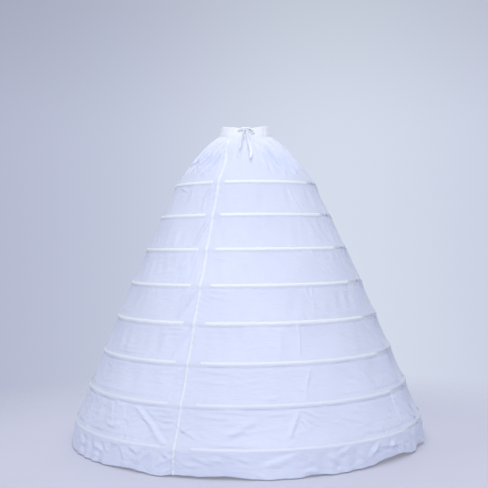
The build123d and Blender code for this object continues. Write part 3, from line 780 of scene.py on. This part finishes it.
def gore_grid(index, settings, columns):
    """Points of one gore from the waistband down and round the hem, and its flat pattern."""
    share = np.linspace(0, 1, columns + 1)
    fall = np.linspace(0, 1, 20)[1:]
    turn = np.linspace(0, 1, 5)[1:]
    z = np.concatenate((gore_rows(), FLOUNCE_TOP * (1 - fall)))[:, None]
    start, end = seam_azimuth(index, z), seam_azimuth(index + 1, z)
    azimuth = start + (end - start) * share[None, :]
    radius, z = draped(azimuth, np.broadcast_to(z, azimuth.shape), settings)
    # The hem is turned up inside and stitched
    fold_z = z[-1:] + turn[:, None] * settings.hem_turn / MM
    fold_azimuth = np.repeat(azimuth[-1:], len(turn), 0)
    steps = np.interp(fold_z - z[-1:], (0, 3, 12), (0.9, 1.2, 1.6))
    back = radius[-1:] - (fold_z - z[-1:]) * 0.07 - steps
    azimuth, z, radius = (np.concatenate(pair) for pair in (
        (azimuth, fold_azimuth), (z, fold_z), (radius, back)))
    down = np.concatenate(([0], np.cumsum(np.hypot(np.diff(z[:, 0]), np.diff(radius[:, 0])))))
    middle = (start[0, 0] + end[0, 0]) / 2
    cut = stacked(np.radians(azimuth - middle) * radius * MM, -down[:, None] * MM)
    return on_plan(azimuth, radius, z), cut


def seam_grid(index, settings):
    """Points of one felled seam: its edges lie on the cloth, and it steps over each bare hoop."""
    rows = gore_rows()
    z = np.concatenate((rows[rows < BAND_BOTTOM - 1], FLOUNCE_TOP * (1 - np.linspace(0, 1, 26)[1:])))
    across, out = SEAM_SECTION.T[:, None, :]
    middle = seam_azimuth(index, z)
    radius, _ = draped(middle, z, settings)
    half = np.interp(z, *SEAM_WIDTHS) + 0.3 * np.sin(z / 9.0 + index)
    azimuth = middle[:, None] + np.degrees(half / radius)[:, None] * across
    radius, height = draped(azimuth, np.broadcast_to(z[:, None], azimuth.shape), settings)
    step = sum(np.exp(-((z - hoop) / 6.5) ** 4) for hoop in HOOP_HEIGHTS)[:, None]
    clear = 1.75 if index == JOIN_SEAM else 1.25
    plain = skirt_radius(z)[:, None] + clear
    over = np.where(z[:, None] < NECK_FOOT - 2, np.maximum(radius, plain), radius)
    radius = radius + (over - radius) * np.clip(step, 0, 1)
    beat = 1 + 0.12 * np.sin(z / 4.1 + 1.3 * index)[:, None]
    stands = settings.seam_height / MM * (0.6 if index == JOIN_SEAM else 1.0)
    radius = radius + out * beat * stands
    cut = stacked(-z[:, None] * MM * SLANT, across * half[:, None] * MM)
    return on_plan(azimuth, radius, height), cut


# Tapes over the hoops
def on_slope(base, height, slope, up, out):
    """Radius and height of points up along the skirt's slope and out from it, from a hoop's middle."""
    long = hypot(slope, 1)
    return base + (out - up * slope) / long, height + (up + out * slope) / long


def tape_spans():
    """Azimuths that each hoop's four tapes cover."""
    spans = []
    for index in range(4):
        before = JOIN_GAP if index == JOIN_SEAM else SEAM_GAP
        after = JOIN_GAP if index + 1 == JOIN_SEAM else SEAM_GAP
        spans.append((SEAMS[index] + before, SEAMS[index + 1] - after))
    return spans


def tape_grid(height, start, end, dice):
    """Points of one tape: stitched flat along both edges, bulging over the steel, ends turned in."""
    across, rise = TAPE_SECTION.T[:, :, None]
    slope = UPPER_SLOPE if height > KNEE_HEIGHT else LOWER_SLOPE
    base = float(skirt_radius(np.array(height)))
    length = radians(end - start) * base
    count = max(40, int(length / 6.0))
    ends = np.array((0, 0.25, 1.2, 5.5, 7.5)) / length
    inner = np.linspace(9.0 / length, 1 - 9.0 / length, count)
    share = np.concatenate((ends, inner, 1 - ends[::-1]))
    azimuth = start + (end - start) * share
    # Turned in and stitched, an end is thicker over its last 9 mm and a little narrower
    near_end = np.minimum(share, 1 - share) * length
    thick = np.interp(near_end, (0, 0.25, 1.2, 5.5, 7.5, 9), (0.02, 0.75, 1.25, 1.25, 1.15, 1.0))
    wide = np.interp(near_end, (0, 0.25, 1.2, 30), (0.93, 0.98, 1.0, 1.0))
    wobble = 0.35 * ripples(azimuth, 0, 30, 90, 6, 0, dice)
    flat = float(np.interp(height, (83, 560), (0.72, 1.0)))
    lift = flat * (1 + 0.05 * ripples(azimuth, 0, 60, 160, 6, 0, dice))
    up = across * wide[None, :] + wobble[None, :]
    out = rise * thick[None, :] * lift[None, :]
    radius, z = on_slope(base, height, slope, up, out)
    cut = stacked(np.radians(azimuth)[None, :] * base, across) * MM
    return on_plan(azimuth[None, :], radius, z), cut


# Ribbons
def route_points(name, points):
    """Centreline of a smooth spline whose control points are the route's."""
    curve = bpy.data.curves.new(name, "CURVE")
    curve.dimensions = "3D"
    curve.resolution_u = 12
    spline = curve.splines.new("NURBS")
    spline.points.add(len(points) - 1)
    for control, point in zip(spline.points, points):
        control.co = (*[c * MM for c in point], 1)
    spline.order_u = 3
    spline.use_endpoint_u = True
    holder = bpy.data.objects.new(name, curve)
    bpy.context.collection.objects.link(holder)
    bpy.context.view_layer.update()
    mesh = bpy.data.meshes.new_from_object(holder)
    line = [vertex.co.copy() for vertex in mesh.vertices]
    bpy.data.objects.remove(holder)
    bpy.data.curves.remove(curve)
    bpy.data.meshes.remove(mesh)
    return line


def ribbon(name, line, facing, material, widths, thickness=STRING_THICKNESS, cup=0.5):
    """Flat woven tape along a line, its face turned to facing(share), with rounded selvedges."""
    section = ((-1, 0), (-0.94, 0.5), (-0.6, 0.42), (0, 0.5), (0.6, 0.42), (0.94, 0.5), (1, 0),
               (0.94, -0.5), (0.6, -0.42), (0, -0.5), (-0.6, -0.42), (-0.94, -0.5))
    rows, cuts, run = [], [], 0.0
    for i, point in enumerate(line):
        before, after = line[max(i - 1, 0)], line[min(i + 1, len(line) - 1)]
        along = (after - before).normalized()
        share = i / (len(line) - 1)
        face = facing(share)
        side = along.cross(face).normalized()
        out = side.cross(along).normalized()
        half = widths(share) / 2 * MM
        if i:
            run += (point - line[i - 1]).length
        row = []
        for across, up in section:
            curl = cup * MM * (across * across - 0.4)
            row.append(point + side * across * half + out * (up * thickness * MM + curl))
        rows.append(row)
        cuts.append([(run, across * half) for across, _ in section])
    size = len(section)
    corners = grid_faces(len(rows), size, True).tolist()
    for base, flip in ((0, True), ((len(rows) - 1) * size, False)):
        ring = [base + k for k in range(size)]
        for k in range(size // 2 - 1):
            quad = [ring[k], ring[k + 1], ring[size - 2 - k], ring[size - 1 - k]]
            corners.append(quad[::-1] if flip else quad)
    points = np.array([list(point) for row in rows for point in row])
    return faces_mesh(name, points, np.array(corners), material, np.array(cuts).reshape(-1, 2))


# Operators
class CAGE_OT_camera(bpy.types.Operator):
    """Place the camera where the picture was taken from"""

    bl_idname = "cage.camera"
    bl_label = "Camera"

    def execute(self, context):
        lens = bpy.data.cameras.new("camera")
        lens.lens, lens.sensor_width = CAMERA_LENS, CAMERA_SENSOR
        lens.clip_start, lens.clip_end = 0.05, 60
        camera = bpy.data.objects.new("camera", lens)
        context.collection.objects.link(camera)
        camera.matrix_world = (Matrix.Translation(CAMERA_PLACE) @ Matrix.Rotation(pi / 2, 4, "X")
                               @ Matrix.Rotation(CAMERA_ROLL, 4, "Z"))
        context.scene.camera = camera
        return {"FINISHED"}


class CAGE_OT_tails(bpy.types.Operator):
    """Hang the drawstring's two free ends from the knot"""

    bl_idname = "cage.tails"
    bl_label = "Drawstring ends"

    def execute(self, context):
        trim = context.scene.cage_trim
        material = drawstring_cotton("cotton drawstring tape, woven", trim.string_colour)
        for side, route, turn in (("left", LEFT_TAIL, (-2.6, -0.7)), ("right", RIGHT_TAIL, (1.3, -0.1))):
            line = route_points("route", route)

            def facing(share, turn=turn):
                return Vector((turn[0] + (turn[1] - turn[0]) * share, -1.0, 0.5))

            def widths(share):
                return STRING_WIDTH * (1 - 0.06 * sin(9 * share)) * (
                    1 - 0.45 * float(smooth(0.86, 1.0, share)))

            tail = ribbon("drawstring_end_" + side, line, facing, material, widths)
            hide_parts("drawstring_tail_" + side)
            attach(tail, "root")
        return {"FINISHED"}


def drawstring_cotton(name, colour):
    """Cotton tape, woven: close ribs along it, matt, brighter than the skirt's cloth."""
    return woven(name, colour, 1.1, 0.7, 0.7, crumple=0.2, sheen=0.2, mottle=0.02)


class CAGE_OT_bow(bpy.types.Operator):
    """Tie the drawstring in a bow at the centre back"""

    bl_idname = "cage.bow"
    bl_label = "Bow"

    def execute(self, context):
        trim = context.scene.cage_trim
        material = drawstring_cotton("cotton drawstring tape, woven and tied", trim.string_colour)
        centre = Vector(KNOT_CENTRE)
        parts = [self.knot(centre, material)]
        for name, points, hollow in (
            ("loop_right", RIGHT_LOOP, (16, -8)), ("loop_left", LEFT_LOOP, (-16, -2))
        ):
            line = route_points("route", [centre + Vector(v) for v in points])
            inside = (centre + Vector((hollow[0], 0, hollow[1]))) * MM

            def facing(share, line=line, inside=inside):
                away = line[round(share * (len(line) - 1))] - inside
                return Vector((away.x, 0, away.z)).normalized() + Vector((0, -0.5, 0.15))

            parts.append(ribbon(name, line, facing, material,
                                lambda share: STRING_WIDTH * (0.7 + 0.25 * sin(pi * share)),
                                thickness=1.0, cup=0.3))
        parts.append(self.channel(material))
        bow = joined("drawstring_bow", parts)
        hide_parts("drawstring")
        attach(bow, "root")
        return {"FINISHED"}

    def knot(self, centre, material):
        """Rounded knot, drawn in where the turn of tape crosses it."""
        rows, columns = 17, 28
        u = np.linspace(-pi / 2, pi / 2, rows)[:, None]
        v = np.linspace(0, 2 * pi, columns, endpoint=False)[None, :]
        power = 0.75
        along = np.sign(np.sin(u)) * np.abs(np.sin(u)) ** power
        ring = np.abs(np.cos(u)) ** power
        across = ring * np.sign(np.cos(v)) * np.abs(np.cos(v)) ** power
        out = ring * np.sign(np.sin(v)) * np.abs(np.sin(v)) ** power
        pleat = 1 + 0.06 * np.cos(5 * v) * np.cos(u) ** 2
        waist = 1 - 0.13 * np.exp(-(along / 0.35) ** 2) + 0.05 * np.cos(7 * along)
        half_x, half_y, half_z = KNOT_HALF
        x = half_x * along
        y = -half_y * out * pleat * waist
        z = half_z * across * pleat * waist - 1.6 * along
        grid = (stacked(x, y, z) + np.array(list(centre))) * MM
        cut = stacked(x * MM, 7 * MM * v)
        return grid_mesh("knot", grid, material, cut, closed=True)

    def channel(self, material):
        """The rest of the tape, round inside the waistband and out through its two slits."""
        azimuth, middle = np.linspace(5.5, 354.5, 160), 1089.2
        inside = on_plan(azimuth, band_radius(azimuth, middle, 1.5), middle + waist_dip(azimuth) * 0.5)
        start, end = (Vector((x, -79.5, middle)) * MM for x in (3.4, -3.4))
        points = [start, *[Vector(p) for p in inside], end]

        def facing(share):
            i = min(int(share * (len(points) - 1)), len(points) - 1)
            return Vector((points[i].x, points[i].y, 0)).normalized()

        return ribbon("channel", points, facing, material, lambda share: STRING_WIDTH,
                      thickness=1.0, cup=0.0)


class CAGE_OT_gores(bpy.types.Operator):
    """Drape the four cloth gores over the hoops"""

    bl_idname = "cage.gores"
    bl_label = "Cloth gores"

    def execute(self, context):
        settings = context.scene.cage_cloth
        # Thin polyester lining cloth, plain woven: smooth and matt with a slight sheen. Its
        # threads are drawn wider apart than they lie, so that they show in a close view.
        material = woven("polyester lining cloth, plain woven", settings.colour, *LINING_WEAVE, 0.62,
                         crumple=0.5, sheen=0.12, creases=0.7,
                         white=settings.crowded_colour, rise=(985, 1075, 0.0))
        for index, name in enumerate(GORE_NAMES):
            grid, cut = gore_grid(index, settings, settings.columns)
            cloth = grid_mesh("cloth_" + name, grid, material, cut)
            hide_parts("gore_" + name)
            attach(cloth, "root")
        return {"FINISHED"}


class CAGE_OT_seams(bpy.types.Operator):
    """Lay the felled seams over the joins of the gores"""

    bl_idname = "cage.seams"
    bl_label = "Felled seams"

    def execute(self, context):
        settings, trim = context.scene.cage_cloth, context.scene.cage_trim
        # Four layers of the lining cloth, felled and stitched: whiter than the single cloth. The
        # seam over the hoops' joins is felled flat, in the single cloth's colour.
        material, flat = (
            woven("polyester lining cloth, felled " + name, colour, *LINING_WEAVE, 0.6, crumple=0.3,
                  sheen=0.12, stitch_rows=(-2.9, 2.9), stitch=trim.stitch / MM, mottle=0.02)
            for name, colour in (("and stitched", trim.seam_colour), ("flat", settings.colour)))
        parts = []
        for index in range(4):
            grid, cut = seam_grid(index, settings)
            parts.append(grid_mesh("seam", grid, flat if index == JOIN_SEAM else material, cut))
        seams = joined("felled_seams", parts)
        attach(seams, "root")
        return {"FINISHED"}


class CAGE_OT_tapes(bpy.types.Operator):
    """Stitch the tapes over the hoops"""

    bl_idname = "cage.tapes"
    bl_label = "Hoop tapes"

    def execute(self, context):
        trim = context.scene.cage_trim
        # Polyester tape, woven: closer than the cloth and near its colour, whitest where it lies
        # over the white coat of the steel, with a row of stitches along each edge. Round the four
        # lower hoops it lies flatter, and the white shows over more of its width.
        # Below 640 mm the white over the steel is painted fainter, to a tenth at 40 mm: painted shade, as
        # less light reaches the lower hoops.
        upper, lower = (
            woven("polyester tape, woven and stitched" + name, trim.tape_colour, 1.4, 0.9, 0.58,
                  crumple=0.25, sheen=0.15, stitch_rows=(-6.1, 6.1), stitch=trim.stitch / MM,
                  mottle=0.02, white=trim.core_colour, core=core, rise=(40, 640, 0.1))
            for name, core in (("", (3.0, 7.4)), (" flat", (5.5, 8.4))))
        for number, height in enumerate(HOOP_HEIGHTS, 1):
            dice = np.random.default_rng(TAPE_SEED + number)
            parts = []
            for start, end in tape_spans():
                grid, cut = tape_grid(height, start, end, dice)
                parts.append(grid_mesh("tape", grid, upper if number < 5 else lower, cut))
            tapes = joined(f"tapes_{number}", parts)
            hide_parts(f"casing_{number}")
            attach(tapes, "root")
        return {"FINISHED"}


class CAGE_OT_steel(bpy.types.Operator):
    """Finish the steel hoops and the crimped connectors that close them"""

    bl_idname = "cage.steel"
    bl_label = "Hoops and connectors"

    def execute(self, context):
        coat = coated_steel(context.scene.cage_trim.coat_colour)
        metal = crimped_metal()
        for number, height in enumerate(HOOP_HEIGHTS, 1):
            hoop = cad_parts[f"hoop_{number}"]
            hoop.data.materials.clear()
            hoop.data.materials.append(coat)
            made = self.connector(number, height, metal)
            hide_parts(f"hoop_connector_{number}")
            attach(made, "root")
        return {"FINISHED"}

    def connector(self, number, height, metal):
        """Rounded channel over the two steel ends, dented four times by the crimping tool."""
        across, rise = CONNECTOR_SECTION.T[:, :, None]
        slope = UPPER_SLOPE if height > KNEE_HEIGHT else LOWER_SLOPE
        base = float(skirt_radius(np.array(height)))
        run = np.concatenate(((-23.0, -22.7), np.linspace(-22, 22, 90), (22.7, 23.0)))
        dents = sum(np.exp(-((run - at) / 1.1) ** 2) for at in (-16, -7, 7, 16))
        rim = np.interp(np.abs(run), (22.0, 22.7, 23.0), (1.0, 0.97, 0.9))
        out = np.maximum(rise * rim - 0.38 * dents * (np.abs(across) < 2.5), 0)
        radius, z = on_slope(base, height, slope, across * rim, out)
        azimuth = SEAMS[JOIN_SEAM] + np.degrees(run / base)
        return grid_mesh(f"connector_{number}", on_plan(azimuth[None, :], radius, z), metal)


class CAGE_OT_waistband(bpy.types.Operator):
    """Fold and stitch the waistband over the gathered top edge"""

    bl_idname = "cage.waistband"
    bl_label = "Waistband"

    def execute(self, context):
        trim = context.scene.cage_trim
        # Double polyester cloth, plain woven and stitched: whiter than the single cloth
        material = woven("polyester cloth, double and stitched", trim.band_colour, *LINING_WEAVE, 0.6,
                         crumple=0.3, sheen=0.12, stitch_rows=(3.2,), stitch=trim.stitch / MM,
                         mottle=0.015)
        dice = np.random.default_rng(BAND_SEED)
        azimuth = np.concatenate((np.linspace(-8, 8, 56), np.linspace(8.8, 351.2, 380)))[None, :]
        up, inset = BAND_SECTION.T[:, :, None]
        ripple = ripples(azimuth, 0, 24, 70, 8, 0, dice)
        pull = np.clip(1 - up / 16, 0, 1)
        z = BAND_BOTTOM + up + waist_dip(azimuth) + 0.3 * ripples(azimuth, 0, 5, 14, 4, 0, dice)
        radius = band_radius(azimuth, BAND_BOTTOM + up, inset) + (0.25 + 0.6 * pull) * ripple * (
            inset < 2)
        radius = radius + 0.4 * ripples(azimuth, up, 8, 30, 6, 0.05, dice) * (inset < 2)
        run = np.concatenate(([0], np.cumsum(np.hypot(*np.diff(BAND_SECTION.T)))))
        cut = stacked(np.radians(azimuth) * 84 * MM, (run[:, None] - 0.8) * MM)
        grid = on_plan(azimuth, radius, z)
        # Two slits let the drawstring out of its channel
        across = radius * np.sin(np.radians(azimuth))
        slit = np.minimum(*[((across - at) / 1.7) ** 2 + ((up - SLIT_HEIGHT) / 5.6) ** 2
                            for at in (-SLIT_SPACING / 2, SLIT_SPACING / 2)])
        slit = (slit < 1) & (inset < 1) & (np.cos(np.radians(azimuth)) > 0)
        band = grid_mesh("waistband_cloth", grid, material, cut, closed=True, holes=slit)
        band = joined("waistband_cloth", [band, *[
            self.slit_rim(at, material) for at in (-SLIT_SPACING / 2, SLIT_SPACING / 2)]])
        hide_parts("waistband")
        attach(band, "root")
        return {"FINISHED"}

    def slit_rim(self, middle, material):
        """Buttonhole stitches round a slit: a thread roll, beaded at every stitch."""
        around = np.linspace(0, 2 * pi, 64, endpoint=False)[None, :]
        tube = np.linspace(0, 2 * pi, 8, endpoint=False)[:, None]
        size = 0.75 * (1 + 0.16 * np.cos(16 * around))
        across = middle + (2.1 + size * np.cos(tube)) * np.cos(around)
        up = SLIT_HEIGHT + (6.0 + size * np.cos(tube)) * np.sin(around)
        back = BAND_HALF_DEPTH + BAND_FLARE * (1 - up / (BAND_TOP - BAND_BOTTOM)) + 0.55
        z = BAND_BOTTOM + up + waist_dip(0.0)
        grid = stacked(across, -back - size * np.sin(tube), z) * MM
        cut = stacked(around * 5 * MM, tube * 0.7 * MM + 8 * MM)
        return grid_mesh("slit_rim", grid, material, cut, closed=True)


class CAGE_OT_studio(bpy.types.Operator):
    """Set the pale floor, the backdrop and the soft studio light"""

    bl_idname = "cage.studio"
    bl_label = "Studio"

    def execute(self, context):
        studio = context.scene.cage_studio
        self.floor(context, studio)
        self.world(context, studio)
        for name, place, size, aim, share in LAMPS:
            light = bpy.data.lights.new(name, "AREA")
            light.shape, light.size = "SQUARE", size
            light.energy = studio.key if share is None else studio.fill * share
            light.color = (1.0, 0.995, 1.0)
            lamp = bpy.data.objects.new(name, light)
            lamp.location = place
            way = Vector((0.0, 0.0, aim)) - Vector(place)
            lamp.rotation_euler = way.to_track_quat("-Z", "Y").to_euler()
            context.collection.objects.link(lamp)
        context.scene.view_settings.view_transform = "Standard"
        return {"FINISHED"}

    def floor(self, context, studio):
        """Wide disc whose edge fades into the backdrop."""
        rings = np.array((0.0001, 0.4, 0.8, 1.2, 1.8, 2.6, 4, 6, 9, 14))[:, None]
        turn = np.linspace(0, 2 * pi, 72, endpoint=False)
        grid = stacked(rings * np.cos(turn), rings * np.sin(turn), -0.4 * MM)
        # Backdrop paper, uncoated: matt, with a faint cloudiness
        material, tree = new_material("backdrop paper, uncoated")
        place = add(tree, "ShaderNodeTexCoord")
        away = add(tree, "ShaderNodeVectorMath", [(0, place.outputs["Object"])], operation="LENGTH")
        fade = add(tree, "ShaderNodeMapRange",
                   [("Value", away.outputs["Value"]), ("From Min", 0.75), ("From Max", 1.7)],
                   interpolation_type="SMOOTHSTEP")
        grain = add(tree, "ShaderNodeTexNoise",
                    [("Vector", place.outputs["Object"]), ("Scale", 2.5), ("Detail", 4.0)])
        tone = add(tree, "ShaderNodeMix", [
            (0, grain.outputs["Fac"]), (6, rgba(studio.floor_colour, 0.96)),
            (7, rgba(studio.floor_colour, 1.03))], data_type="RGBA")
        lit = add(tree, "ShaderNodeBsdfPrincipled", [
            ("Base Color", tone.outputs[2]), ("Roughness", 0.9), ("Specular IOR Level", 0.1)])
        glow = add(tree, "ShaderNodeEmission", [("Color", rgba(studio.floor_colour))])
        rays = add(tree, "ShaderNodeLightPath")
        seen = add(tree, "ShaderNodeMath",
                   [(0, rays.outputs["Is Camera Ray"]), (1, rays.outputs["Is Glossy Ray"])],
                   operation="MAXIMUM")
        pale = add(tree, "ShaderNodeMath", [(0, seen.outputs[0]), (1, 0.4)], operation="MULTIPLY")
        mixed = add(tree, "ShaderNodeMixShader", [
            (0, pale.outputs[0]), (1, lit.outputs[0]), (2, glow.outputs[0])])
        # Far out the floor lets the backdrop show, so that no edge is seen
        clear = add(tree, "ShaderNodeBsdfTransparent")
        gone = add(tree, "ShaderNodeMath", [(0, seen.outputs[0]), (1, fade.outputs[0])],
                   operation="MULTIPLY")
        mixed = add(tree, "ShaderNodeMixShader", [
            (0, gone.outputs[0]), (1, mixed.outputs[0]), (2, clear.outputs[0])])
        finish_material(tree, mixed)
        floor = grid_mesh("floor", grid, material, closed=True)

    def world(self, context, studio):
        """Soft light from all round, with the backdrop's colour where the camera looks."""
        world = bpy.data.worlds.new("studio")
        world.use_nodes = True
        context.scene.world = world
        tree = world.node_tree
        tree.nodes.clear()
        place = add(tree, "ShaderNodeTexCoord")
        parts = add(tree, "ShaderNodeSeparateXYZ", [("Vector", place.outputs["Generated"])])
        # Where the camera looks, the backdrop is painted darker higher up and on the left, and lighter on the
        # right: painted shade and light on one paper.
        rise = add(tree, "ShaderNodeMapRange",
                   [("Value", parts.outputs["Z"]), ("From Min", 0.1), ("From Max", 0.34),
                    ("To Min", 1.0), ("To Max", 0.78)], interpolation_type="SMOOTHSTEP")
        across = add(tree, "ShaderNodeMapRange",
                     [("Value", parts.outputs["X"]), ("From Min", -0.3), ("From Max", 0.3)])
        wall = add(tree, "ShaderNodeValToRGB", [("Fac", across.outputs[0])])
        wall.color_ramp.interpolation = "B_SPLINE"
        stops = ((0.0, studio.wall_left), (0.34, studio.wall_middle), (0.68, studio.wall_right),
                 (1.0, studio.wall_middle))
        ramp = wall.color_ramp.elements
        ramp.new(0.34), ramp.new(0.68)
        for stop, (at, colour) in zip(ramp, stops):
            stop.position, stop.color = at, rgba(colour)
        shaded = add(tree, "ShaderNodeMix", [
            (0, 1.0), (6, wall.outputs["Color"]), (7, rise.outputs[0])],
            data_type="RGBA", blend_type="MULTIPLY")
        seen_wall = add(tree, "ShaderNodeBackground", [("Color", shaded.outputs[2]), ("Strength", 1.0)])
        below = add(tree, "ShaderNodeMapRange",
                    [("Value", parts.outputs["Z"]), ("From Min", -0.4), ("From Max", 0.4)])
        tint = add(tree, "ShaderNodeMix", [
            (0, below.outputs[0]), (6, rgba(srgb("#F9E2FF"))), (7, rgba(srgb("#EDF4FF")))],
            data_type="RGBA")
        soft = add(tree, "ShaderNodeBackground", [("Color", tint.outputs[2]), ("Strength", 0.36)])
        rays = add(tree, "ShaderNodeLightPath")
        seen = add(tree, "ShaderNodeMath",
                   [(0, rays.outputs["Is Camera Ray"]), (1, rays.outputs["Is Glossy Ray"])],
                   operation="MAXIMUM")
        seen = add(tree, "ShaderNodeMath",
                   [(0, seen.outputs[0]), (1, rays.outputs["Is Transmission Ray"])],
                   operation="MAXIMUM")
        mixed = add(tree, "ShaderNodeMixShader", [
            (0, seen.outputs[0]), (1, soft.outputs[0]), (2, seen_wall.outputs[0])])
        add(tree, "ShaderNodeOutputWorld", [("Surface", mixed.outputs[0])])


class CAGE_PT_panel(bpy.types.Panel):
    """Sizes, colours and steps of the crinoline cage"""

    bl_idname = "CAGE_PT_panel"
    bl_label = "Crinoline cage"
    bl_space_type = "VIEW_3D"
    bl_region_type = "UI"
    bl_category = "Crinoline"

    def draw(self, context):
        for group in ("cage_cloth", "cage_trim", "cage_studio"):
            settings = getattr(context.scene, group)
            column = self.layout.column(align=True)
            for name in settings.__annotations__:
                column.prop(settings, name)
        for step in STEPS:
            self.layout.operator(step.bl_idname)


STEPS = (CAGE_OT_camera, CAGE_OT_tails, CAGE_OT_bow, CAGE_OT_gores, CAGE_OT_seams,
         CAGE_OT_waistband, CAGE_OT_tapes, CAGE_OT_steel, CAGE_OT_studio)
GROUPS = {"cage_cloth": CageCloth, "cage_trim": CageTrim, "cage_studio": CageStudio}


def register():
    for made in (*GROUPS.values(), *STEPS, CAGE_PT_panel):
        bpy.utils.register_class(made)
    for name, group in GROUPS.items():
        setattr(bpy.types.Scene, name, PointerProperty(type=group))


def unregister():
    for name in GROUPS:
        delattr(bpy.types.Scene, name)
    for made in (CAGE_PT_panel, *STEPS[::-1], *GROUPS.values()):
        bpy.utils.unregister_class(made)


def main():
    register()
    for step in STEPS:
        group, name = step.bl_idname.split(".")
        getattr(getattr(bpy.ops, group), name)()


if __name__ == "__main__":
    main()
